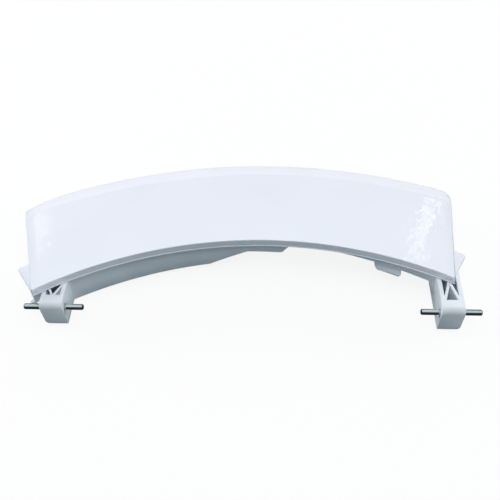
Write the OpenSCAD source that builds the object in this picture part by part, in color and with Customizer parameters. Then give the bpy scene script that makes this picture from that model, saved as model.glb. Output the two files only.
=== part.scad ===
/* [Pivot pins] */
// Diameter of each steel pivot pin
pin_d = 3; // [2:0.1:4]
// Length of each steel pivot pin
pin_len = 30; // [24:1:40]
// Distance between the middles of the two pins
pin_pitch = 198; // [192:1:202]
// Chamfer on the ends of each pin
pin_chamfer = 0.4; // [0.1:0.1:0.8]
// How far the knurled middle of each pin stands out, to grip in its arm
pin_grip = 0.25; // [0.2:0.05:0.3]

/* [Arc] */
// Radius of the concave edge of the cover
cover_inner_r = 198; // [194:1:202]
// Radial width of the cover
cover_w = 63.5; // [58:0.5:70]
// Distance of the arc's centre to the right of the middle of the pivot axis
arc_side = 5.5; // [4:0.5:7]
// Turn of the arc's middle line towards the left arm, in degrees
arc_turn = 3.3; // [2.5:0.1:4]
// How far the ends of the concave edge lie behind the pivot axis
corner_back = 7.9; // [6:0.1:10]
// How far the lever's wings pass the middle of each pin
wing_past = 5.2; // [4.5:0.1:6]
// How far the cover passes the middle of the left pin
left_past = 5.6; // [4.5:0.1:6.5]
// How far the cover passes the middle of the right pin
right_past = 6.6; // [5.5:0.1:7]

/* [Cover] */
// Height of the flat face above the pivot axis
face_z = 10.8; // [9.8:0.1:12]
// Clearance between the cover's concave rim and the top of the lever
rim_clear = 0.3; // [0.2:0.1:0.8]
// Wall of the cover
cover_t = 2.2; // [1.6:0.1:2.6]
// Width of the sloping band along the convex edge
bevel_w = 12; // [8:0.5:16]
// Fall of the sloping band
bevel_drop = 4; // [2.5:0.25:4.25]
// Height of the rim below the sloping band
outer_rim_h = 3.4; // [2.8:0.1:4]
// Outward lean of the left end from the middle line, in degrees
left_lean = 12.9; // [11:0.1:14]
// Outward lean of the right end from the middle line, in degrees
right_lean = 9.5; // [8:0.1:11]
// Width of the strip that rolls off at each end
roll_w = 4; // [2:0.5:6]
// Fall of the strip that rolls off at each end
roll_drop = 0.5; // [0.2:0.1:0.8]
// Radius of the convex corner on the right
right_corner_r = 9; // [5:0.5:12]
// Radius of the convex corner on the left
left_corner_r = 2.4; // [1:0.1:3]
// Length over which the convex edge eases in towards the left corner
ease_len = 24; // [18:0.5:28]
// Radius that starts the ease
ease_r = 42; // [30:1:60]
// Turn of the convex edge in the ease, in degrees
ease_turn = 18; // [10:1:22]
// Radius of the two concave corners
low_corner_r = 1.2; // [0.8:0.1:2]
// Thickness of the stiffening rings inside the cover
ring_t = 1.4; // [1:0.1:2]
// Number of snap hooks along the concave edge
hook_count = 6; // [4:1:7]
// Width of each snap hook
hook_w = 6; // [4:0.5:8]
// Thickness of each snap hook
hook_t = 1.3; // [1:0.1:1.6]
// Reach of each hook's nose
hook_nose = 0.8; // [0.5:0.1:1.2]
// Number of catches along the convex rim
catch_count = 5; // [3:1:7]

/* [Arms] */
// Width of each arm
arm_w = 11.4; // [9:0.2:13]
// Height of the top of the arms above the pivot axis
arm_top = 6.2; // [5:0.1:6.4]
// Depth of the arms below the pivot axis
arm_drop = 11.2; // [9:0.2:13]
// Reach of each arm's nose in front of the pivot axis
arm_nose = 4.3; // [3.6:0.1:6]
// Radius between the top and the front of the nose
nose_r = 3.2; // [2:0.1:4]
// Setback of the foot of the nose
nose_setback = 2.0; // [0:0.1:3]
// Radius along the outer bottom edge of each arm
arm_edge_r = 2.6; // [1:0.1:4]
// Side walls of the arms
arm_wall = 2.1; // [1.6:0.1:2.6]
// Thickness of the crossing ribs in the left arm
left_rib_t = 1.1; // [1:0.1:1.6]
// Thickness of the crossing ribs in the right arm
right_rib_t = 1.4; // [1:0.1:1.6]
// Solid length behind the pivot axis, before the first pocket
arm_solid = 2.8; // [2.4:0.1:4]
// Length of one crossing in the left arm
left_step = 7.6; // [6:0.2:9]
// Length of one crossing in the right arm
right_step = 12; // [10:0.5:14]

/* [Lever body] */
// Clearance between the cover's rim and the lever's skirt, seen from above
rim_gap = 2; // [1.6:0.1:2.6]
// Thickness of the lever's plate
plate_t = 1.8; // [1.4:0.1:2.4]
// Walls of the lever
wall_t = 2; // [1.6:0.1:2.4]
// Radial width of the deep channel and of the two wings
channel_w = 20; // [17:0.5:23]
// Radius of the outer corner of each wing
wing_corner_r = 1.6; // [1:0.1:3]
// Clearance between the plate and the cover's convex rim
shelf_gap = 0.4; // [0.2:0.1:0.8]
// Thickness of the ribs under the plate
cross_t = 1.4; // [1:0.1:2]
// Number of ribs under the shelf
shelf_ribs = 13; // [9:1:15]
// Height of the shelf ribs at their thin end
shelf_rib_h = 2.2; // [1.5:0.1:4]
// Clearance around each hook in its window
window_gap = 0.4; // [0.2:0.1:0.6]

/* [Concave skirt] */
// Depth of the skirt beside the left arm, below the pivot axis
skirt_left_z = 10.8; // [9:0.2:11]
// Depth of the skirt at the top of its ramp, below the pivot axis
skirt_mid_z = 8.2; // [6:0.2:9]
// Place where the ramp starts, left of the middle line
ramp_start = 17.4; // [14:0.2:20]
// Place where the ramp ends, right of the middle line
ramp_end = 3; // [1:0.2:5]
// Place where the shallow lip ends, right of the middle line
lip_end = 25; // [22:0.2:28]
// Depth of the shallow lip below the pivot axis
lip_z = 0.5; // [0:0.1:2]
// Place where the right wall starts, right of the middle line
right_wall_start = 47; // [42:0.5:52]
// Depth of the right wall beside the right arm, below the pivot axis
right_wall_z = 0.6; // [0:0.1:2]

/* [Latch tab] */
// Place of the tab's left side
tab_start = 69.4; // [66:0.2:72]
// Length of the tab
tab_len = 12.8; // [10:0.2:14]
// Depth of the tab below the pivot axis
tab_z = 2.6; // [1.5:0.1:4]
// Height of the tab's lip
tab_lip_h = 2.6; // [1.5:0.1:3]
// Reach of the tab's lip towards the fingers
tab_lip_reach = 1.2; // [0.6:0.1:1.8]

/* [Hidden] */
$fn = 64;
arc_fn = 360;
eps = 0.01;
big = 400;
gloss_white = [0.91, 0.92, 0.96];
moulded_white = [0.86, 0.88, 0.91];
steel = [0.62, 0.64, 0.67];

cover_outer_r = cover_inner_r + cover_w;
crease_r = cover_outer_r - bevel_w;
rim_z = arm_top + rim_clear;
bevel_z = face_z - bevel_drop;
outer_rim_z = bevel_z - outer_rim_h;
edge_soft = 0.4;
ease_over = 0.1;
round_over = 0.02;
end_up_z = 0.1;

skirt_r = cover_inner_r + rim_gap;
channel_r = skirt_r + channel_w;
wing_over = 0.2;
wall_r = channel_r - wing_over;
shelf_r = cover_outer_r - cover_t - shelf_gap;
shelf_edge_z = face_z - cover_t - (shelf_r - crease_r) * bevel_drop / bevel_w - shelf_gap;
shelf_fold_r = crease_r + (face_z - cover_t - shelf_gap - arm_top) * bevel_w / bevel_drop;
plate_z = arm_top - plate_t;

half_span = asin((pin_pitch / 2 + wing_past) / cover_inner_r);
arc_back = cover_inner_r * cos(half_span) - corner_back;

// Lean of an end and its line's distance from the arc's centre; side 0 is right, 1 is left
function end_lean(side) = side == 0 ? right_lean : left_lean;
function end_span(side) = asin((pin_pitch / 2 + (side == 0 ? right_past : left_past)) / cover_inner_r);
function end_k(side) = cover_inner_r * sin(end_span(side) - end_lean(side));
// Unit vectors square to an end's line and along it, outwards
function end_out(side) = [cos(end_lean(side)), -sin(end_lean(side))];
function end_up(side) = [sin(end_lean(side)), cos(end_lean(side))];

hook_r = skirt_r + wall_t + 2.5;
hook_drop = 1.4;
catch_reach = 0.8;
catch_span = 3;
ring_inset = 9;

foot_r = 0.8;
nib_len = 1.9;
nib_h = 3;
nib_top = -0.2;
stub_z = 1.5;
shelf_span = 25;
wall_fall = 3.4;
hook_step = half_span * 1.52 / (hook_count - 1);

// Local angle about the arc's centre of the point at x in the part's frame, at radius r
function angle_at(x, r) = asin((x - arc_side) / r) + arc_turn;
left_arm_at = -skirt_r * sin(angle_at(-pin_pitch / 2 + arm_w / 2 - 2, skirt_r));
stub_from = -skirt_r * sin(angle_at(-pin_pitch / 2 - arm_w / 2 + 1, skirt_r));
right_arm_at = skirt_r * sin(angle_at(pin_pitch / 2 - arm_w / 2 + 1, skirt_r));
wall_from = -angle_at(-pin_pitch / 2 - arm_w / 2 + 1, wall_r);
wall_to = angle_at(pin_pitch / 2 + arm_w / 2 - 1, wall_r);
bar_end = channel_r + 20 - arc_back;

// A revolved ring sector about the arc's centre; points are [radius, height]
module ring(points, from, to)
  rotate(90 - to)
    rotate_extrude(angle = to - from, $fn = arc_fn)
      polygon(points);

// A plain ring sector with a rectangular section
module band(r1, r2, z1, z2, from, to)
  ring([[r1, z1], [r2, z1], [r2, z2], [r1, z2]], from, to);

// Moves the children from the arc's own frame, middle line along +Y, to the part's frame
module in_arc()
  translate([arc_side, -arc_back, 0])
    rotate(arc_turn)
      children();

// Waste beyond both ends of the arc, where the ends' lines are drawn in by inset
module beyond_ends(inset, z1, z2)
  for (side = [0, 1])
    mirror([side, 0, 0])
      rotate(-end_lean(side))
        translate([end_k(side) - inset, 0, z1])
          cube([big / 4, big, z2 - z1]);

// Waste outside the fillet where an end meets an arc of radius r; the end's line has the
// given lean and passes the arc's centre at the given distance
module corner_waste(r, fillet, outer, lean, dist) {
  n = [cos(lean), -sin(lean)];
  d = [sin(lean), cos(lean)];
  s = outer ? 1 : -1;
  rho = r - s * fillet;
  k = dist - fillet;
  m = sqrt(rho * rho - k * k);
  c = k * n + m * d;
  out = s * c / rho;
  on_end = c + fillet * n;
  on_arc = c * r / rho;
  tip = dist * n + sqrt(r * r - dist * dist) * d;
  difference() {
    translate([0, 0, -big / 2])
      linear_extrude(big)
        polygon([c, on_end, on_end + n, tip + n + out, on_arc + out, on_arc]);
    translate([c[0], c[1], -big / 2 - 1])
      cylinder(r = fillet + s * round_over, h = big + 2);
  }
}

// Where the convex edge's ease starts, as an angle about the arc's centre, and its circle
ease_at = asin(end_k(1) / cover_outer_r) + left_lean - ease_len / cover_outer_r * 180 / PI;
ease_c = (cover_outer_r + ease_over - ease_r) * [sin(ease_at), cos(ease_at)];
ease_dir = [cos(ease_at + ease_turn), -sin(ease_at + ease_turn)];
ease_end = ease_c + ease_r * [sin(ease_at + ease_turn), cos(ease_at + ease_turn)];
ease_tip = ease_end
  + ease_dir * (end_k(1) - ease_end * end_out(1)) / (ease_dir * end_out(1));

// Waste beyond the eased convex edge, drawn in by inset; drawn for the right and mirrored
module beyond_ease(inset)
  translate([ease_c[0], ease_c[1], -big / 2]) {
    rotate(90 - ease_at - ease_turn)
      rotate_extrude(angle = ease_turn, $fn = arc_fn)
        translate([ease_r - inset, 0])
          square([ease_len, big]);
    rotate(-ease_at - ease_turn)
      translate([-ease_over * ease_len, ease_r - inset - round_over, 0])
        cube([2 * ease_len, ease_len, big]);
  }

// Waste outside the eased convex edge and its corner
module ease_waste() {
  beyond_ease(0);
  half = acos(ease_dir * end_up(1)) / 2;
  toward = -(ease_dir + end_up(1)) / norm(ease_dir + end_up(1));
  c = ease_tip + toward * left_corner_r / sin(half);
  reach = left_corner_r / tan(half);
  difference() {
    translate([0, 0, -big / 2])
      linear_extrude(big)
        polygon([c, ease_tip - ease_dir * reach, ease_tip - toward, ease_tip - end_up(1) * reach]);
    translate([c[0], c[1], -big / 2 - 1])
      cylinder(r = left_corner_r + round_over, h = big + 2);
  }
}

// Waste above the strip that rolls off at an end
module roll_waste(side)
  rotate(-end_lean(side))
    translate([end_k(side) - roll_w, 0, face_z])
      rotate([0, atan(roll_drop / roll_w), 0])
        translate([-roll_w, 0, 0])
          cube([roll_w * 4, big, big]);

// Section of the cover's shell, as [radius, height] points
cover_section = [
  [cover_inner_r, rim_z],
  [cover_inner_r + cover_t, rim_z],
  [cover_inner_r + cover_t, face_z - cover_t],
  [crease_r, face_z - cover_t],
  [cover_outer_r - cover_t, bevel_z - cover_t + bevel_drop * cover_t / bevel_w],
  [cover_outer_r - cover_t, outer_rim_z],
  [cover_outer_r, outer_rim_z],
  [cover_outer_r, bevel_z - edge_soft],
  [cover_outer_r - edge_soft, bevel_z],
  [crease_r, face_z],
  [cover_inner_r + edge_soft, face_z],
  [cover_inner_r, face_z - edge_soft]
];

// Section of the walls at the two ends: down to the rim over the wings, deeper beyond them
end_section = [
  [cover_inner_r + 1, rim_z + end_up_z],
  [channel_r + 1, rim_z + end_up_z],
  [channel_r + 1, outer_rim_z],
  [cover_outer_r - cover_t / 2, outer_rim_z],
  [cover_outer_r - cover_t / 2, bevel_z - cover_t / 2],
  [crease_r, face_z - cover_t / 2],
  [cover_inner_r + 1, face_z - cover_t / 2]
];

// Section of the wall behind the eased convex edge
ease_section = [
  [cover_outer_r - bevel_w, outer_rim_z],
  [cover_outer_r - cover_t / 2, outer_rim_z],
  [cover_outer_r - cover_t / 2, bevel_z - cover_t / 2],
  [crease_r, face_z - cover_t / 2]
];

// Walls that close the two ends of the cover
module end_walls()
  for (side = [0, 1])
    mirror([side, 0, 0])
      intersection() {
        ring(end_section, 0, end_span(side) + 2);
        rotate(-end_lean(side))
          translate([end_k(side) - cover_t, 0, -big / 4])
            cube([cover_t + 3, big, big / 2]);
      }

// Wall that backs the eased convex edge
module ease_wall()
  mirror([1, 0, 0])
    intersection() {
      ring(ease_section, ease_at - 2, end_span(1) + 2);
      translate([ease_c[0], ease_c[1], -big / 4])
        rotate(-ease_at - ease_turn)
          translate([-ease_len, ease_r - cover_t, 0])
            cube([3 * ease_len, cover_t + ease_len, big / 2]);
    }

// One snap hook, standing on the middle line
module snap_hook()
  translate([-hook_w / 2, hook_r, 0])
    rotate([90, 0, 90])
      linear_extrude(hook_w)
        polygon([
          [0, face_z - cover_t + eps],
          [hook_t, face_z - cover_t + eps],
          [hook_t, plate_z - 0.2],
          [hook_t + hook_nose, plate_z - 0.2],
          [hook_t, plate_z - hook_drop - 0.2],
          [0, plate_z - hook_drop - 0.2]
        ]);

function hook_angle(i) = -half_span * 0.76 + i * half_span * 1.52 / (hook_count - 1);
function catch_angle(i) = -half_span * 0.68 + i * half_span * 1.36 / (catch_count - 1);

// Gloss white moulded cover: flat arched face, sloping band, rims, rings, hooks and catches
module front_cover()
  color(gloss_white)
    in_arc() {
      difference() {
        union() {
          ring(cover_section, -end_span(1) - 2, end_span(0) + 2);
          end_walls();
          ease_wall();
        }
        beyond_ends(0, outer_rim_z - 5, face_z + 5);
        corner_waste(cover_outer_r, right_corner_r, true, right_lean, end_k(0));
        mirror([1, 0, 0]) ease_waste();
        for (side = [0, 1])
          mirror([side, 0, 0]) {
            corner_waste(cover_inner_r, low_corner_r, false, end_lean(side), end_k(side));
            roll_waste(side);
          }
      }
      for (r = [hook_r + ring_inset, crease_r - ring_inset])
        band(r, r + ring_t, arm_top, face_z - cover_t + eps, -half_span * 0.8, half_span * 0.8);
      for (i = [0 : hook_count - 1])
        rotate(-hook_angle(i)) snap_hook();
      for (i = [0 : catch_count - 1])
        ring([
          [cover_outer_r - cover_t + eps, outer_rim_z + 0.2],
          [cover_outer_r - cover_t - catch_reach, plate_z - 0.2],
          [cover_outer_r - cover_t + eps, plate_z - 0.2]
        ], catch_angle(i) - catch_span / 2, catch_angle(i) + catch_span / 2);
    }

// Side profile of an arm, nose to the front, run back to y_end
module arm_profile(y_end) {
  foot_y = -arm_nose + nose_setback;
  polygon(concat(
    [[y_end, -arm_drop], [y_end, arm_top]],
    [for (a = [90 : 10 : 180])
      [-arm_nose + nose_r + nose_r * cos(a), arm_top - nose_r + nose_r * sin(a)]],
    [for (a = [180 : 15 : 270])
      [foot_y + foot_r + foot_r * cos(a), -arm_drop + foot_r + foot_r * sin(a)]]
  ));
}

// A straight rib in plan from p to q, standing from z1 to z2
module rib(p, q, t, z1, z2)
  translate([p[0], p[1], z1])
    rotate(atan2(q[1] - p[1], q[0] - p[0]))
      translate([0, -t / 2, 0])
        cube([norm(q - p), t, z2 - z1]);

// The two pivot pins' places
function pin_x(side) = side * pin_pitch / 2;

// One arm as a solid bar, its outer bottom edge rounded
module arm_bar(side)
  intersection() {
    difference() {
      translate([pin_x(side) - arm_w / 2, 0, 0])
        rotate([90, 0, 90])
          linear_extrude(arm_w)
            arm_profile(bar_end);
      translate([pin_x(side) + side * (arm_w / 2 - arm_edge_r), -arm_nose - 1, -arm_drop + arm_edge_r])
        rotate([-90, 0, 0])
          difference() {
            translate([side > 0 ? 0 : -arm_edge_r - 1, 0, -1])
              cube([arm_edge_r + 1, arm_edge_r + 1, big]);
            translate([0, 0, -2])
              cylinder(r = arm_edge_r, h = big + 4);
          }
    }
    translate([arc_side, -arc_back, -arm_drop - 1])
      cylinder(r = wall_r - wall_t / 2, h = arm_drop + arm_top + 2, $fn = arc_fn);
  }

// Crossing ribs of one arm; they meet the middle at every second step
module arm_ribs(side, step, rib_t, at_middle) {
  half = (arm_w / 2 - arm_wall);
  y0 = at_middle ? arm_solid - rib_t : arm_solid;
  for (i = [0 : ceil(bar_end / step)]) {
    mid_first = (i % 2 == 0) == at_middle;
    for (s = [-1, 1]) {
      a = mid_first ? 0 : s * half;
      b = mid_first ? s * half : 0;
      rib([pin_x(side) + a, y0 + i * step], [pin_x(side) + b, y0 + (i + 1) * step],
        rib_t, -arm_drop, arm_top);
    }
  }
}

// Space between the walls of one arm, less its crossing ribs
module arm_pockets(side, step, rib_t, at_middle)
  difference() {
    intersection() {
      translate([pin_x(side) - arm_w / 2 + arm_wall, arm_solid, -arm_drop - 1])
        cube([arm_w - 2 * arm_wall, bar_end, arm_drop + arm_top + 2]);
      translate([arc_side, -arc_back, -arm_drop - 2])
        cylinder(r = wall_r - wall_t - wing_over, h = arm_drop + arm_top + 4, $fn = arc_fn);
    }
    arm_ribs(side, step, rib_t, at_middle);
  }

// Elevation of the skirt's deep left part, its ramp and its lip
module left_elevation()
  polygon([
    [-big, plate_z + 1],
    [-big, -stub_z],
    [-stub_from, -stub_z],
    [-stub_from, -skirt_left_z],
    [-left_arm_at, -skirt_left_z],
    [-ramp_start, -skirt_mid_z],
    [ramp_end, -lip_z + 0.4],
    [lip_end - 4.2, -lip_z],
    [lip_end - 3, -lip_z + 0.8],
    [lip_end, plate_z],
    [lip_end, plate_z + 1]
  ]);

// Elevation of the skirt's right wall and of its fall to the right arm
module right_elevation()
  polygon([
    [right_wall_start, plate_z + 1],
    [right_wall_start, plate_z],
    [right_arm_at - wall_fall, -right_wall_z],
    [right_arm_at, -arm_drop + 1],
    [big / 2, -arm_drop + 1],
    [big / 2, plate_z + 1]
  ]);

// Elevation of the latch tab
module tab_elevation()
  polygon([
    [tab_start, plate_z + 1],
    [tab_start, -tab_z + 1.6],
    [tab_start + 1, -tab_z + 0.7],
    [tab_start + tab_len - 1.2, -tab_z - 0.6],
    [tab_start + tab_len, -tab_z + 1.4],
    [tab_start + tab_len, plate_z + 1]
  ]);

// Solid of everything that lies within an elevation, seen along the middle line
module within()
  translate([0, big, 0])
    rotate([90, 0, 0])
      linear_extrude(big)
        children();

// Concave skirt between the arms, with the latch tab
module skirt() {
  intersection() {
    band(skirt_r, skirt_r + wall_t, -arm_drop, plate_z + eps, -half_span, half_span);
    within() {
      left_elevation();
      right_elevation();
    }
  }
  intersection() {
    ring([
      [skirt_r, plate_z + eps],
      [skirt_r, -tab_z + tab_lip_h],
      [skirt_r - tab_lip_reach, -tab_z + 0.8],
      [skirt_r - tab_lip_reach, -tab_z - 1],
      [skirt_r + wall_t, -tab_z - 1],
      [skirt_r + wall_t, plate_z + eps]
    ], 0, half_span);
    within() tab_elevation();
  }
}

// Nib beyond the left end of the skirt
module nib()
  rotate(half_span)
    translate([-nib_len, skirt_r, nib_top - nib_h])
      cube([nib_len + 1, wall_t, nib_h]);

// Ribs across the deep channel, between the hooks; they stop short of the ramp
module channel_ribs()
  for (i = [0 : hook_count - 2]) {
    a = hook_angle(i) + hook_step / 4;
    b = hook_angle(i) + hook_step * 3 / 4;
    inner = skirt_r + wall_t / 2;
    outer = wall_r - wall_t / 2;
    foot = -skirt_mid_z + 0.6;
    if (outer * sin(b) < -ramp_start) {
      for (c = [a, b])
        rib(inner * [sin(c), cos(c)], outer * [sin(c), cos(c)], cross_t, foot, plate_z + eps);
      rib(inner * [sin(a), cos(a)], outer * [sin(b), cos(b)], cross_t, foot, plate_z + eps);
    }
  }

// Tapering ribs under the shelf
module shelf_ribs_all()
  for (i = [0 : shelf_ribs - 1])
    rotate(shelf_span - i * 2 * shelf_span / (shelf_ribs - 1))
      translate([-cross_t / 2, 0, 0])
        rotate([90, 0, 90])
          linear_extrude(cross_t)
            polygon([
              [wall_r - wall_t / 2, plate_z + eps],
              [shelf_r - 2, plate_z + eps],
              [shelf_r - 2, plate_z - shelf_rib_h],
              [channel_r + 6, -arm_drop],
              [wall_r - wall_t / 2, -arm_drop]
            ]);

// Plate of the lever: channel top with its two wings, and the shelf under the cover
module plate()
  difference() {
    ring([
      [skirt_r, plate_z],
      [shelf_r, plate_z],
      [shelf_r, shelf_edge_z],
      [shelf_fold_r, arm_top],
      [skirt_r, arm_top]
    ], -half_span, half_span);
    difference() {
      beyond_ends(cover_t + shelf_gap, plate_z - 1, arm_top + 1);
      translate([0, 0, plate_z - 2])
        cylinder(r = channel_r, h = plate_t + 4, $fn = arc_fn);
    }
    mirror([1, 0, 0]) beyond_ease(cover_t + shelf_gap);
    corner_waste(channel_r, wing_corner_r, true, half_span, 0);
    mirror([1, 0, 0]) corner_waste(channel_r, wing_corner_r, true, half_span, 0);
    for (i = [0 : hook_count - 1])
      rotate(-hook_angle(i))
        translate([-hook_w / 2 - window_gap, hook_r - window_gap, plate_z - 1])
          cube([hook_w + 2 * window_gap, hook_t + hook_nose + 2 * window_gap, plate_t + 2]);
  }

// White moulded lever: arms, skirt, channel, plate with wings, shelf and ribs in one piece
module lever()
  color(moulded_white)
    difference() {
      union() {
        difference() {
          union() {
            arm_bar(-1);
            arm_bar(1);
            in_arc() {
              skirt();
              nib();
              band(wall_r - wall_t, wall_r, -arm_drop, plate_z + eps, -wall_from, wall_to);
              channel_ribs();
              shelf_ribs_all();
            }
          }
          arm_pockets(-1, left_step, left_rib_t, true);
          arm_pockets(1, right_step, right_rib_t, false);
        }
        in_arc() plate();
      }
      for (side = [-1, 1])
        translate([pin_x(side) - arm_w, 0, 0])
          rotate([0, 90, 0])
            cylinder(d = pin_d + 2 * pin_grip, h = 2 * arm_w);
    }

// Steel pivot pin: chamfered ends and a knurled middle that fills the arm's bore
module pivot_pin(side)
  color(steel)
    translate([pin_x(side), 0, 0])
      rotate([0, 90, 0])
        rotate_extrude()
          polygon([
            [0, -pin_len / 2],
            [pin_d / 2 - pin_chamfer, -pin_len / 2],
            [pin_d / 2, -pin_len / 2 + pin_chamfer],
            [pin_d / 2, -arm_w / 2],
            [pin_d / 2 + pin_grip, -arm_w / 2],
            [pin_d / 2 + pin_grip, arm_w / 2],
            [pin_d / 2, arm_w / 2],
            [pin_d / 2, pin_len / 2 - pin_chamfer],
            [pin_d / 2 - pin_chamfer, pin_len / 2],
            [0, pin_len / 2]
          ]);

module left_pin() pivot_pin(-1);
module right_pin() pivot_pin(1);

front_cover();
lever();
left_pin();
right_pin();
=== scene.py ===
import math

import bmesh
import bpy
from mathutils import Matrix, Vector


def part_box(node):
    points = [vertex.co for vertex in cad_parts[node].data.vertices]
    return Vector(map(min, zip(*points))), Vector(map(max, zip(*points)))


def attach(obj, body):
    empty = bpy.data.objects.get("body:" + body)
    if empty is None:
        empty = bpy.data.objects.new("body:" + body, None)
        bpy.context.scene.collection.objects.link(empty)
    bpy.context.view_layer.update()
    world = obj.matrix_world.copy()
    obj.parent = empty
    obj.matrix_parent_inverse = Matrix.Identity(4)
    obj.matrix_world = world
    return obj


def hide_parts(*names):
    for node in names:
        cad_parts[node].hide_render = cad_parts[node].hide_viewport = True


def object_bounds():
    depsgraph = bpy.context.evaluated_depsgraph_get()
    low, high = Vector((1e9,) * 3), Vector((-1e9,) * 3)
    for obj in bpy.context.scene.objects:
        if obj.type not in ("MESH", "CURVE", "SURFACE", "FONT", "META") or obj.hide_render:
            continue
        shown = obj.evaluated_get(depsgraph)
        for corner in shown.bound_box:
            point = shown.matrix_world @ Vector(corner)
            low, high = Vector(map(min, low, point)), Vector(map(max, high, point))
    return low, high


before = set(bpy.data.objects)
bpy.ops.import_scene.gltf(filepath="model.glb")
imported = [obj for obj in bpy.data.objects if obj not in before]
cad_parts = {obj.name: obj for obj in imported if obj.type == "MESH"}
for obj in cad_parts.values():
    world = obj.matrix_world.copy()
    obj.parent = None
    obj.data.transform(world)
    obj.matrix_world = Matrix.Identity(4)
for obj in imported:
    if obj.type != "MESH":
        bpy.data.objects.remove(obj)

bl_info = {
    "name": "Washing machine door handle",
    "version": (1, 0, 0),
    "blender": (4, 5, 0),
    "location": "3D View > Sidebar > Door handle",
    "description": "Dresses the packed door handle: gloss cover, moulded lever, steel pins and studio",
    "category": "Object",
}

CAD_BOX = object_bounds()
ROOT = "root"
MM = 0.001


# ---------------------------------------------------------------- settings

class HANDLE_PG_finish(bpy.types.PropertyGroup):
    """Colours and finishes of the handle"""
    cover_colour: bpy.props.FloatVectorProperty(
        name="Cover colour", description="Cool white of the gloss cover",
        subtype="COLOR", size=3, min=0, max=1, default=(0.81, 0.83, 0.91))
    lever_colour: bpy.props.FloatVectorProperty(
        name="Lever colour", description="Cool white of the moulded lever",
        subtype="COLOR", size=3, min=0, max=1, default=(0.78, 0.825, 0.885))
    steel_colour: bpy.props.FloatVectorProperty(
        name="Steel colour", description="Bright ground steel of the pivot pins",
        subtype="COLOR", size=3, min=0, max=1, default=(0.60, 0.61, 0.63))
    lever_edge: bpy.props.FloatProperty(
        name="Lever edges", description="Radius that breaks the lever's moulded edges",
        subtype="DISTANCE", unit="LENGTH", precision=5, default=0.0002)
    cover_roughness: bpy.props.FloatProperty(
        name="Cover roughness", description="Roughness of the cover under its clear gloss",
        min=0, max=1, default=0.32)
    lever_roughness: bpy.props.FloatProperty(
        name="Lever roughness", description="Roughness of the lever as moulded",
        min=0, max=1, default=0.42)


def length(name, description, default):
    return bpy.props.FloatProperty(
        name=name, description=description, subtype="DISTANCE", unit="LENGTH", precision=5, default=default)


def angle(name, description, degrees):
    return bpy.props.FloatProperty(
        name=name, description=description, subtype="ANGLE", default=math.radians(degrees))


class HANDLE_PG_cover(bpy.types.PropertyGroup):
    """Sizes of the gloss front cover"""
    inner_radius: length("Inner radius", "Radius of the concave edge", 0.198)
    width: length("Width", "Radial width of the cover", 0.0635)
    face_height: length("Face height", "Height of the flat face above the pins", 0.0108)
    band_width: length("Band width", "Width of the sloping band along the convex edge", 0.012)
    band_drop: length("Band drop", "Fall of the sloping band", 0.004)
    crease_width: length("Crease width", "Width of the soft fold where the band starts", 0.0016)
    outer_foot: length("Outer foot", "Height of the convex rim's lower edge", 0.0034)
    inner_foot: length("Inner foot", "Height of the concave rim's lower edge", 0.0065)
    step_radius: length("Step radius", "Where the end walls step up over the wings", 0.221)
    wall: length("Wall", "Wall of the moulding", 0.0022)
    edge_radius: length("Edge radius", "Radius along the edges", 0.00045)
    left_reach: length("Left reach", "Half chord of the concave edge on the left", 0.1046)
    right_reach: length("Right reach", "Half chord of the concave edge on the right", 0.1056)
    left_lean: angle("Left lean", "Outward lean of the left end", 12.9)
    right_lean: angle("Right lean", "Outward lean of the right end", 9.5)
    right_corner: length("Right corner", "Radius of the convex corner on the right", 0.009)
    left_corner: length("Left corner", "Radius of the convex corner on the left", 0.0024)
    low_corner: length("Low corners", "Radius of the two concave corners", 0.0012)
    ease_length: length("Ease length", "Length of the eased convex edge at the left corner", 0.024)
    ease_radius: length("Ease radius", "Radius that starts the ease", 0.042)
    ease_turn: angle("Ease turn", "Turn of the eased convex edge", 18)
    half_turn: angle("Half turn", "Half of the angle that the hooks and catches are spread by", 31.753)
    plate_top: length("Plate top", "Height of the lever's plate", 0.0062)
    plate: length("Plate", "Thickness of the lever's plate", 0.0018)
    hook_radius: length("Hook radius", "Where the snap hooks stand", 0.2045)
    hook_width: length("Hook width", "Width of a snap hook", 0.006)
    hook_stem: length("Hook stem", "Thickness of a snap hook", 0.0013)
    hook_nose: length("Hook nose", "Reach of a snap hook's nose", 0.0008)
    hook_drop: length("Hook drop", "Depth of a hook's tip under the plate", 0.0014)
    hooks: bpy.props.IntProperty(name="Hooks", description="Number of snap hooks", min=2, default=6)
    catches: bpy.props.IntProperty(
        name="Catches", description="Number of catches along the convex rim", min=2, default=5)
    bead: length("Bead", "Reach of the fine bead along the concave rim's lower edge", 0.0003)
    roll_width: length("Roll width", "Width of the strip that rolls off at each end", 0.0048)
    roll_drop: length("Roll drop", "Fall of the strip that rolls off at each end", 0.0005)


class HANDLE_PG_view(bpy.types.PropertyGroup):
    """Place of the camera"""
    place: bpy.props.FloatVectorProperty(
        name="Place", description="Where the camera stands",
        subtype="TRANSLATION", unit="LENGTH", size=3, default=(0.01357, -0.2327, 0.2930))
    yaw: bpy.props.FloatProperty(
        name="Yaw", description="Turn of the view to the right of +Y",
        subtype="ANGLE", default=math.radians(-3.194))
    tilt: bpy.props.FloatProperty(
        name="Tilt", description="How far the view looks down",
        subtype="ANGLE", default=math.radians(46.968))
    roll: bpy.props.FloatProperty(
        name="Roll", description="Turn of the camera about its view",
        subtype="ANGLE", default=math.radians(-1.693))
    lens: bpy.props.FloatProperty(
        name="Lens", description="Focal length on a 36 mm sensor, in millimetres",
        min=10, max=200, default=54)


# ---------------------------------------------------------------- materials

def new_material(name):
    material = bpy.data.materials.new(name)
    material.use_nodes = True
    shader = material.node_tree.nodes["Principled BSDF"]
    return material, material.node_tree, shader


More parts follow.
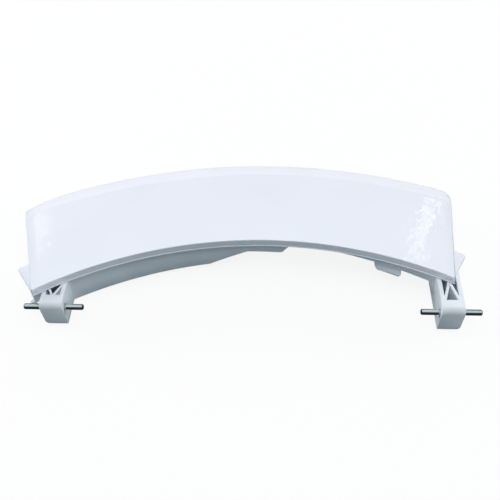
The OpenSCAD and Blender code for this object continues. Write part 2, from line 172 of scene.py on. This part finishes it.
def object_noise(tree, scale, detail=2.0, stretch=(1, 1, 1)):
    """Noise on Object coordinates; scale is in features per metre."""
    coords = tree.nodes.new("ShaderNodeTexCoord")
    mapping = tree.nodes.new("ShaderNodeMapping")
    mapping.inputs["Scale"].default_value = stretch
    noise = tree.nodes.new("ShaderNodeTexNoise")
    noise.inputs["Scale"].default_value = scale
    noise.inputs["Detail"].default_value = detail
    tree.links.new(coords.outputs["Object"], mapping.inputs["Vector"])
    tree.links.new(mapping.outputs["Vector"], noise.inputs["Vector"])
    return noise.outputs["Fac"]


def spread(tree, value, low, high):
    """Maps a noise value from its usual 0.3 to 0.7 onto low to high."""
    node = tree.nodes.new("ShaderNodeMapRange")
    node.inputs["From Min"].default_value = 0.3
    node.inputs["From Max"].default_value = 0.7
    node.inputs["To Min"].default_value = low
    node.inputs["To Max"].default_value = high
    tree.links.new(value, node.inputs["Value"])
    return node.outputs["Result"]


def tint(tree, value, colour, low, high):
    """Colour that runs from low to high times the given one."""
    ramp = tree.nodes.new("ShaderNodeMix")
    ramp.data_type = "RGBA"
    ramp.inputs["A"].default_value = [c * low for c in colour] + [1]
    ramp.inputs["B"].default_value = [min(c * high, 1) for c in colour] + [1]
    tree.links.new(spread(tree, value, 0, 1), ramp.inputs["Factor"])
    return ramp.outputs["Result"]


def bump(tree, height, strength, distance, under=None):
    node = tree.nodes.new("ShaderNodeBump")
    node.inputs["Strength"].default_value = strength
    node.inputs["Distance"].default_value = distance
    tree.links.new(height, node.inputs["Height"])
    if under is not None:
        tree.links.new(under, node.inputs["Normal"])
    return node.outputs["Normal"]


def cover_gloss(finish):
    material, tree, shader = new_material("cover gloss")
    sink = object_noise(tree, 28, 1.0)
    peel = object_noise(tree, 420, 2.0)
    tree.links.new(tint(tree, sink, finish.cover_colour, 0.985, 1.015), shader.inputs["Base Color"])
    tree.links.new(
        spread(tree, peel, finish.cover_roughness - 0.02, finish.cover_roughness + 0.03),
        shader.inputs["Roughness"])
    waves = bump(tree, object_noise(tree, 70, 1.0), 0.5, 0.00008)
    tree.links.new(bump(tree, peel, 0.08, 0.00003, waves), shader.inputs["Normal"])
    ripple = bump(tree, object_noise(tree, 240, 1.5), 0.6, 0.0002, waves)
    tree.links.new(ripple, shader.inputs["Coat Normal"])
    shader.inputs["Coat Weight"].default_value = 1.0
    shader.inputs["Coat Roughness"].default_value = 0.05
    shader.inputs["IOR"].default_value = 1.5
    return material


def lever_moulded(finish):
    material, tree, shader = new_material("lever moulded")
    flow = object_noise(tree, 45, 2.0, (1, 1, 2.5))
    grain = object_noise(tree, 2600, 2.0)
    tree.links.new(tint(tree, flow, finish.lever_colour, 0.975, 1.02), shader.inputs["Base Color"])
    tree.links.new(
        spread(tree, flow, finish.lever_roughness - 0.05, finish.lever_roughness + 0.05),
        shader.inputs["Roughness"])
    tree.links.new(bump(tree, grain, 0.12, 0.00005), shader.inputs["Normal"])
    return material


def pin_steel(finish):
    material, tree, shader = new_material("pin steel")
    rings = object_noise(tree, 900, 3.0, (6, 0.4, 0.4))
    tree.links.new(tint(tree, rings, finish.steel_colour, 0.9, 1.08), shader.inputs["Base Color"])
    tree.links.new(spread(tree, rings, 0.08, 0.16), shader.inputs["Roughness"])
    tree.links.new(bump(tree, rings, 0.05, 0.00001), shader.inputs["Normal"])
    shader.inputs["Metallic"].default_value = 1.0
    return material


# ---------------------------------------------------------------- the arc's own frame

ARC_CENTRE = Vector((0.0055, -0.160463, 0))
ARC_TURN = math.radians(3.3)
TO_PART = Matrix.Translation(ARC_CENTRE) @ Matrix.Rotation(ARC_TURN, 4, "Z")
STEP_ANGLE = math.radians(0.5)


def along(turn, radius=1.0, height=0.0):
    """Point at a turn to the right of the arc's middle line, +Y."""
    return Vector((radius * math.sin(turn), radius * math.cos(turn), height))


def spin_profile(bm, profile, start, end):
    """Spins open or closed (radius, height) points about the arc's centre."""
    verts = [bm.verts.new(along(start, radius, height)) for radius, height in profile]
    edges = [bm.edges.new(pair) for pair in zip(verts, verts[1:])]
    bmesh.ops.spin(
        bm, geom=verts + edges, cent=(0, 0, 0), axis=(0, 0, 1), angle=start - end,
        steps=math.ceil((end - start) / STEP_ANGLE), use_duplicate=False)


def trim(bm, normal, distance):
    """Cuts away all that lies further than distance along the normal."""
    geom = bm.verts[:] + bm.edges[:] + bm.faces[:]
    bmesh.ops.bisect_plane(
        bm, geom=geom, dist=1e-7, plane_co=normal * distance, plane_no=normal, clear_outer=True)


def cut_across(bm, normal, distance, faces):
    """Cuts an edge line through the faces, at a distance along the normal."""
    geom = set(faces)
    for face in faces:
        geom.update(face.edges)
        geom.update(face.verts)
    bmesh.ops.bisect_plane(
        bm, geom=list(geom), dist=1e-7, plane_co=normal * distance, plane_no=normal)


def round_off(bm, centre, radius, first, last, cuts):
    """Rounds a convex corner with planes that touch a circle, from normal first to last."""
    turn = first.xy.angle_signed(last.xy)
    for i in range(cuts):
        normal = Matrix.Rotation(-turn * (i + 0.5) / cuts, 3, "Z") @ first
        trim(bm, normal, centre.dot(normal) + radius)


def finish_mesh(bm, name, material, body=ROOT, to_part=True):
    if to_part:
        bmesh.ops.transform(bm, matrix=TO_PART, verts=bm.verts)
    mesh = bpy.data.meshes.new(name)
    bm.to_mesh(mesh)
    bm.free()
    mesh.shade_smooth()
    mesh.materials.append(material)
    piece = bpy.data.objects.new(name, mesh)
    bpy.context.scene.collection.objects.link(piece)
    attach(piece, body)
    return piece


def soften(piece, width, segments=3, limit=35):
    """Rounds the sharp edges and keeps the flat faces flat."""
    bevel = piece.modifiers.new("edges", "BEVEL")
    bevel.width = width
    bevel.segments = segments
    bevel.limit_method = "ANGLE"
    bevel.angle_limit = math.radians(limit)
    bevel.harden_normals = True
    bevel.use_clamp_overlap = False
    bevel.miter_outer = "MITER_ARC"


def bake_within(piece, low, high):
    """Applies the modifiers and keeps every point inside a box."""
    graph = bpy.context.evaluated_depsgraph_get()
    mesh = bpy.data.meshes.new_from_object(
        piece.evaluated_get(graph), preserve_all_data_layers=True, depsgraph=graph)
    for vert in mesh.vertices:
        vert.co = [min(max(c, a), b) for c, a, b in zip(vert.co, low, high)]
    piece.modifiers.clear()
    piece.data = mesh


# ---------------------------------------------------------------- pieces

def cover_skin(sizes):
    """Outer skin of the cover: face, sloping band, ends and rims, open below."""
    inner, outer = sizes.inner_radius, sizes.inner_radius + sizes.width
    crease = outer - sizes.band_width
    top, foot = sizes.face_height, sizes.face_height - sizes.band_drop
    slope = sizes.band_drop / sizes.band_width
    fold = sizes.crease_width / 2
    spans = {1: math.asin(sizes.right_reach / inner), -1: math.asin(sizes.left_reach / inner)}
    leans = {1: sizes.right_lean, -1: sizes.left_lean}

    bm = bmesh.new()
    profile = [(inner, top)]
    for i in range(5):
        t = i / 4
        profile.append((crease + fold * (2 * t - 1), top - slope * fold * t * t))
    profile.append((outer, foot))
    spin_profile(bm, profile, -spans[-1] - 0.06, spans[1] + 0.06)

    ends = {}
    for side in (1, -1):
        normal = Vector((side * math.cos(leans[side]), -math.sin(leans[side]), 0))
        upward = Vector((side * math.sin(leans[side]), math.cos(leans[side]), 0))
        distance = inner * math.sin(spans[side] - leans[side])
        ends[side] = normal, upward, distance
        trim(bm, normal, distance)

    normal, upward, distance = ends[1]
    radius = sizes.right_corner
    rho, k = outer - radius, distance - radius
    centre = normal * k + upward * math.sqrt(rho * rho - k * k)
    round_off(bm, centre, radius, normal, centre.normalized(), 8)

    normal, upward, distance = ends[-1]
    corner = math.asin(distance / outer) + leans[-1]
    at = sizes.ease_length / outer - corner
    centre = along(at, outer + 0.0001 - sizes.ease_radius)
    first, last = along(at), along(at - sizes.ease_turn)
    round_off(bm, centre, sizes.ease_radius, first, last, 6)
    trim(bm, last, centre.dot(last) + sizes.ease_radius)
    reach = centre.dot(last) + sizes.ease_radius
    straight = Matrix((normal.xy, last.xy)).inverted()
    radius = sizes.left_corner
    centre = (straight @ Vector((distance - radius, reach - radius))).to_3d()
    round_off(bm, centre, radius, last, normal, 5)

    bmesh.ops.dissolve_limit(
        bm, angle_limit=math.radians(0.3), use_dissolve_boundaries=False,
        verts=bm.verts, edges=bm.edges, delimit=set())

    rim = [edge for edge in bm.edges if edge.is_boundary]
    made = bmesh.ops.extrude_edge_only(bm, edges=rim)["geom"]
    for vert in made:
        if isinstance(vert, bmesh.types.BMVert):
            vert.co.z = sizes.outer_foot

    for side in (1, -1):
        normal, upward, distance = ends[side]
        tip = normal * distance + upward * math.sqrt(inner * inner - distance * distance)
        corner = [
            edge for edge in bm.edges
            if all((vert.co.xy - tip.xy).length < 1e-5 for vert in edge.verts)]
        half = (math.pi / 2 - spans[side] + leans[side]) / 2
        bmesh.ops.bevel(
            bm, geom=corner, offset=sizes.low_corner / math.tan(half), segments=5, profile=0.5,
            affect="EDGES", material=-1, clamp_overlap=False)

    for side in (1, -1):
        normal, upward, distance = ends[side]
        for i in range(6):
            cut_across(bm, normal, distance - sizes.roll_width * (1 - i / 6), bm.faces)
        for vert in bm.verts:
            share = (vert.co.dot(normal) - distance) / sizes.roll_width + 1
            if share > 0 and vert.co.z > sizes.outer_foot + 1e-5:
                vert.co.z -= sizes.roll_drop * share * share
        step = math.sqrt(sizes.step_radius ** 2 - distance * distance)
        wall = [face for face in bm.faces if face.normal.dot(normal) > 0.999]
        for shift in (0, 0.0003):
            cut_across(bm, upward, step + shift, wall)
            wall = [face for face in bm.faces if face.normal.dot(normal) > 0.999]

    for vert in bm.verts:
        if vert.co.z < sizes.outer_foot + 1e-5 and vert.co.xy.length < sizes.step_radius + 0.0001:
            vert.co.z = sizes.inner_foot
    bmesh.ops.remove_doubles(bm, verts=bm.verts, dist=6e-5)
    bmesh.ops.dissolve_degenerate(bm, edges=bm.edges, dist=6e-5)
    bmesh.ops.recalc_face_normals(bm, faces=bm.faces)
    return bm


def solid_ring(bm, profile, start, end):
    """Adds a closed length of ring with the given section of (radius, height) points."""
    part = bmesh.new()
    spin_profile(part, profile + profile[:1], start, end)
    bmesh.ops.remove_doubles(part, verts=part.verts, dist=1e-6)
    bmesh.ops.holes_fill(part, edges=[edge for edge in part.edges if edge.is_boundary], sides=0)
    add_part(bm, part)


def add_part(bm, part):
    """Adds a closed shape to a bmesh, faces outwards."""
    bmesh.ops.recalc_face_normals(part, faces=part.faces)
    mesh = bpy.data.meshes.new("part")
    part.to_mesh(mesh)
    part.free()
    bm.from_mesh(mesh)
    bpy.data.meshes.remove(mesh)


def snap_hook(bm, sizes, ceiling, turn):
    """One snap hook that reaches down through the plate, its nose outwards."""
    radius, stem, nose = sizes.hook_radius, sizes.hook_stem, sizes.hook_nose
    under = sizes.plate_top - sizes.plate - 0.0002
    part = bmesh.new()
    section = [
        (radius, ceiling), (radius + stem, ceiling), (radius + stem, under),
        (radius + stem + nose, under), (radius + stem, under - sizes.hook_drop),
        (radius, under - sizes.hook_drop)]
    face = part.faces.new([part.verts.new((-sizes.hook_width / 2, y, z)) for y, z in section])
    made = bmesh.ops.extrude_face_region(part, geom=[face], use_keep_orig=True)["geom"]
    bmesh.ops.translate(
        part, verts=[v for v in made if isinstance(v, bmesh.types.BMVert)], vec=(sizes.hook_width, 0, 0))
    bmesh.ops.rotate(part, verts=part.verts, cent=(0, 0, 0), matrix=Matrix.Rotation(-turn, 3, "Z"))
    add_part(bm, part)


def dress_node(node, material):
    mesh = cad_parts[node].data
    mesh.materials.clear()
    mesh.materials.append(material)


class HANDLE_OT_cover(bpy.types.Operator):
    """Dress the gloss front cover"""
    bl_idname = "handle.cover"
    bl_label = "Front cover"

    def execute(self, context):
        sizes = context.scene.handle_cover
        gloss = cover_gloss(context.scene.handle_finish)
        bm = cover_skin(sizes)
        top = max(bm.faces, key=lambda face: face.calc_center_median().z)
        if top.normal.z < 0:
            bmesh.ops.reverse_faces(bm, faces=bm.faces)
        cover = finish_mesh(bm, "gloss_cover", gloss)
        shell = cover.modifiers.new("wall", "SOLIDIFY")
        shell.thickness = sizes.wall
        shell.offset = -1
        shell.use_even_offset = True
        shell.use_quality_normals = True
        soften(cover, sizes.edge_radius)
        bake_within(cover, *CAD_BOX)
        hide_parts("front_cover")

        bm = bmesh.new()
        span = sizes.half_turn
        ceiling = sizes.face_height - sizes.wall + 0.0001
        for radius in (sizes.hook_radius + 0.009, sizes.inner_radius + sizes.width - sizes.band_width - 0.009):
            solid_ring(bm, [
                (radius, sizes.plate_top), (radius + 0.0014, sizes.plate_top),
                (radius + 0.0014, ceiling), (radius, ceiling)], -0.8 * span, 0.8 * span)
        for i in range(sizes.hooks):
            snap_hook(bm, sizes, ceiling, (2 * i / (sizes.hooks - 1) - 1) * 0.76 * span)
        wall = sizes.inner_radius + sizes.width - sizes.wall + 0.0001
        under = sizes.plate_top - sizes.plate - 0.0002
        for i in range(sizes.catches):
            turn = (2 * i / (sizes.catches - 1) - 1) * 0.68 * span
            solid_ring(
                bm, [(wall, sizes.outer_foot + 0.0002), (wall - 0.0009, under), (wall, under)],
                turn - math.radians(1.5), turn + math.radians(1.5))
        inside = finish_mesh(bm, "cover_hooks", gloss)
        soften(inside, 0.00012, 2)

        bm = bmesh.new()
        front, back = sizes.inner_radius - sizes.bead, sizes.inner_radius + sizes.bead
        foot, corner = sizes.inner_foot, sizes.low_corner / sizes.inner_radius
        solid_ring(
            bm, [(front, foot), (front, foot + sizes.bead), (back, foot + 1.5 * sizes.bead), (back, foot)],
            corner - math.asin(sizes.left_reach / sizes.inner_radius),
            math.asin(sizes.right_reach / sizes.inner_radius) - corner)
        bead = finish_mesh(bm, "rim_bead", gloss)
        soften(bead, sizes.bead / 5, 2)
        return {"FINISHED"}


class HANDLE_OT_lever(bpy.types.Operator):
    """Dress the moulded lever"""
    bl_idname = "handle.lever"
    bl_label = "Lever"

    def execute(self, context):
        finish = context.scene.handle_finish
        bm = bmesh.new()
        bm.from_mesh(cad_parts["lever"].data)
        bmesh.ops.remove_doubles(bm, verts=bm.verts, dist=2e-6)
        bmesh.ops.dissolve_limit(
            bm, angle_limit=math.radians(1), use_dissolve_boundaries=False,
            verts=bm.verts, edges=bm.edges, delimit=set())
        bmesh.ops.remove_doubles(bm, verts=bm.verts, dist=3e-5)
        bmesh.ops.dissolve_degenerate(bm, edges=bm.edges, dist=3e-5)
        lever = finish_mesh(bm, "moulded_lever", lever_moulded(finish), to_part=False)
        soften(lever, finish.lever_edge, 2, 32)
        bake_within(lever, *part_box("lever"))
        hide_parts("lever")
        return {"FINISHED"}


class HANDLE_OT_pins(bpy.types.Operator):
    """Dress the two steel pivot pins"""
    bl_idname = "handle.pins"
    bl_label = "Pivot pins"

    def execute(self, context):
        steel = pin_steel(context.scene.handle_finish)
        for node in ("left_pin", "right_pin"):
            dress_node(node, steel)
        return {"FINISHED"}


# ---------------------------------------------------------------- stage

def studio_floor(shown, bounced, mirrored):
    """Floor that shows white, lights the object softly from below and keeps its shadow; in reflections it
    shows near black, a painted dark reflection on the steel pins.
    """
    material = bpy.data.materials.new("studio floor")
    material.use_nodes = True
    tree = material.node_tree
    tree.nodes.clear()
    out = tree.nodes.new("ShaderNodeOutputMaterial")
    rays = tree.nodes.new("ShaderNodeLightPath")

    def plain(colour):
        diffuse = tree.nodes.new("ShaderNodeBsdfDiffuse")
        diffuse.inputs["Color"].default_value = (*colour, 1)
        return diffuse.outputs["BSDF"]

    def choose(ray, without, within, share=1.0):
        mix = tree.nodes.new("ShaderNodeMixShader")
        scale = tree.nodes.new("ShaderNodeMath")
        scale.operation = "MULTIPLY"
        scale.inputs[1].default_value = share
        tree.links.new(rays.outputs[ray], scale.inputs[0])
        tree.links.new(scale.outputs["Value"], mix.inputs["Fac"])
        tree.links.new(without, mix.inputs[1])
        tree.links.new(within, mix.inputs[2])
        return mix.outputs["Shader"]

    glow = tree.nodes.new("ShaderNodeEmission")
    glow.inputs["Strength"].default_value = 1.0
    seen = tree.nodes.new("ShaderNodeMixShader")
    seen.inputs["Fac"].default_value = 0.88
    tree.links.new(plain(shown), seen.inputs[1])
    tree.links.new(glow.outputs["Emission"], seen.inputs[2])
    # Reflections see the floor near black, though the camera sees it white: a painted dark reflection in the
    # lower half of the steel pins.
    unseen = choose("Is Glossy Ray", plain(bounced), plain(mirrored))
    surface = choose("Is Camera Ray", unseen, seen.outputs["Shader"])
    tree.links.new(surface, out.inputs["Surface"])
    return material


def add_light(name, place, target, size, power, colour=(1, 1, 1), lit=True, mirrored=True,
              upward=(0, 0, 1)):
    data = bpy.data.lights.new(name, "AREA")
    data.shape = "RECTANGLE"
    data.size, data.size_y = size
    data.energy = power
    data.color = colour
    light = bpy.data.objects.new(name, data)
    light.visible_diffuse = lit
    light.visible_glossy = mirrored
    bpy.context.scene.collection.objects.link(light)
    light.location = place
    ahead = (Vector(target) - Vector(place)).normalized()
    side = ahead.cross(Vector(upward)).normalized()
    light.rotation_euler = Matrix((side, side.cross(ahead), -ahead)).transposed().to_euler()
    return light


class HANDLE_OT_stage(bpy.types.Operator):
    """Build the floor, the studio lights, the world and the camera"""
    bl_idname = "handle.stage"
    bl_label = "Stage"

    def execute(self, context):
        scene = context.scene
        scene.view_settings.view_transform = "Standard"
        low = CAD_BOX[0][2]

        bm = bmesh.new()
        bmesh.ops.create_grid(bm, x_segments=1, y_segments=1, size=3.0)
        bmesh.ops.translate(bm, verts=bm.verts, vec=(0, 0, low - 0.0002))
        mesh = bpy.data.meshes.new("floor")
        bm.to_mesh(mesh)
        bm.free()
        floor = bpy.data.objects.new("floor", mesh)
        scene.collection.objects.link(floor)
        # The third colour, near black, is the floor as reflections see it: a painted dark reflection on the
        # steel pins.
        mesh.materials.append(studio_floor((0.88, 0.885, 0.89), (0.38, 0.44, 0.46), (0.03, 0.035, 0.04)))

        world = bpy.data.worlds.new("studio")
        scene.world = world
        world.use_nodes = True
        sky = world.node_tree.nodes["Background"]
        sky.inputs["Color"].default_value = (0.84, 0.99, 1.0, 1)
        tree = world.node_tree
        rays = tree.nodes.new("ShaderNodeLightPath")
        coords = tree.nodes.new("ShaderNodeTexCoord")
        height = tree.nodes.new("ShaderNodeSeparateXYZ")
        softbox = tree.nodes.new("ShaderNodeMapRange")
        softbox.interpolation_type = "SMOOTHSTEP"
        for key, value in (("From Min", 0.5), ("From Max", 0.85), ("To Min", 0.05), ("To Max", 0.95)):
            softbox.inputs[key].default_value = value
        level = tree.nodes.new("ShaderNodeMapRange")
        level.inputs["To Min"].default_value = 0.225
        tree.links.new(coords.outputs["Generated"], height.inputs["Vector"])
        tree.links.new(height.outputs["Z"], softbox.inputs["Value"])
        tree.links.new(softbox.outputs["Result"], level.inputs["To Max"])
        tree.links.new(rays.outputs["Is Glossy Ray"], level.inputs["Value"])
        tree.links.new(level.outputs["Result"], sky.inputs["Strength"])
        white = tree.nodes.new("ShaderNodeBackground")
        white.inputs["Color"].default_value = (1, 1, 1, 1)
        shown = tree.nodes.new("ShaderNodeMixShader")
        tree.links.new(rays.outputs["Is Camera Ray"], shown.inputs["Fac"])
        tree.links.new(sky.outputs["Background"], shown.inputs[1])
        tree.links.new(white.outputs["Background"], shown.inputs[2])
        tree.links.new(shown.outputs["Shader"], tree.nodes["World Output"].inputs["Surface"])

        middle = (0, 0.05, 0)
        add_light("top", (0.0, 0.1, 1.2), middle, (1.2, 0.9), 5.2, (1.0, 0.98, 0.995), mirrored=False)
        add_light("front top", (0.0, -0.35, 1.0), middle, (0.5, 0.3), 2.6, (0.99, 0.99, 1.0), mirrored=False)
        add_light("back", (0.0, 1.25, 0.4), middle, (2.0, 0.5), 8.4, (1.0, 0.98, 0.99), mirrored=False)
        add_light("left side", (-1.0, 0.30, 0.26), middle, (0.5, 0.4), 6.2, mirrored=False)
        add_light("right side", (1.0, 0.30, 0.26), middle, (0.5, 0.4), 5.2, mirrored=False)
        add_light("back glow", (0.0, 1.6, 0.27), middle, (3.0, 0.36), 1.9, (0.97, 0.97, 1.0), lit=False)
        strips = {
            "left": (Vector((-0.404, 0.663, 0.564)), Vector((-0.34, 0.94, 0))),
            "right": (Vector((0.262, 0.64, 0.564)), Vector((0.37, 0.93, 0))),
        }
        for side, (place, run) in strips.items():
            for i in range(7):
                add_light(f"{side} strip {i + 1}", place + run * 0.038 * (i - 3), middle,
                          (0.013, 0.019), 0.0034, lit=False, upward=run)

        view = scene.handle_view
        yaw, tilt, roll = view.yaw, view.tilt, view.roll
        ahead = Vector((math.sin(yaw) * math.cos(tilt), math.cos(yaw) * math.cos(tilt), -math.sin(tilt)))
        level = Vector((math.cos(yaw), -math.sin(yaw), 0))
        upward = level.cross(ahead)
        right = level * math.cos(roll) + upward * math.sin(roll)
        up = upward * math.cos(roll) - level * math.sin(roll)
        turn = Matrix((right, up, -ahead)).transposed().to_4x4()
        data = bpy.data.cameras.new("camera")
        data.lens = view.lens
        data.sensor_width = 36
        data.clip_start = 0.01
        camera = bpy.data.objects.new("camera", data)
        scene.collection.objects.link(camera)
        camera.matrix_world = Matrix.Translation(Vector(view.place)) @ turn
        scene.camera = camera
        return {"FINISHED"}


class HANDLE_PT_panel(bpy.types.Panel):
    """Lists the handle's pieces and settings"""
    bl_idname = "HANDLE_PT_panel"
    bl_label = "Door handle"
    bl_space_type = "VIEW_3D"
    bl_region_type = "UI"
    bl_category = "Door handle"

    def draw(self, context):
        layout = self.layout
        for group in (context.scene.handle_finish, context.scene.handle_cover, context.scene.handle_view):
            box = layout.box()
            for name in group.__annotations__:
                box.prop(group, name)
        for operator in STEPS:
            layout.operator(operator.bl_idname)


STEPS = (HANDLE_OT_cover, HANDLE_OT_lever, HANDLE_OT_pins, HANDLE_OT_stage)
CLASSES = (HANDLE_PG_finish, HANDLE_PG_cover, HANDLE_PG_view) + STEPS + (HANDLE_PT_panel,)


def register():
    for cls in CLASSES:
        bpy.utils.register_class(cls)
    bpy.types.Scene.handle_finish = bpy.props.PointerProperty(type=HANDLE_PG_finish)
    bpy.types.Scene.handle_cover = bpy.props.PointerProperty(type=HANDLE_PG_cover)
    bpy.types.Scene.handle_view = bpy.props.PointerProperty(type=HANDLE_PG_view)


def unregister():
    del bpy.types.Scene.handle_finish
    del bpy.types.Scene.handle_cover
    del bpy.types.Scene.handle_view
    for cls in reversed(CLASSES):
        bpy.utils.unregister_class(cls)


def main():
    register()
    bpy.ops.handle.cover()
    bpy.ops.handle.lever()
    bpy.ops.handle.pins()
    bpy.ops.handle.stage()


if __name__ == "__main__":
    main()
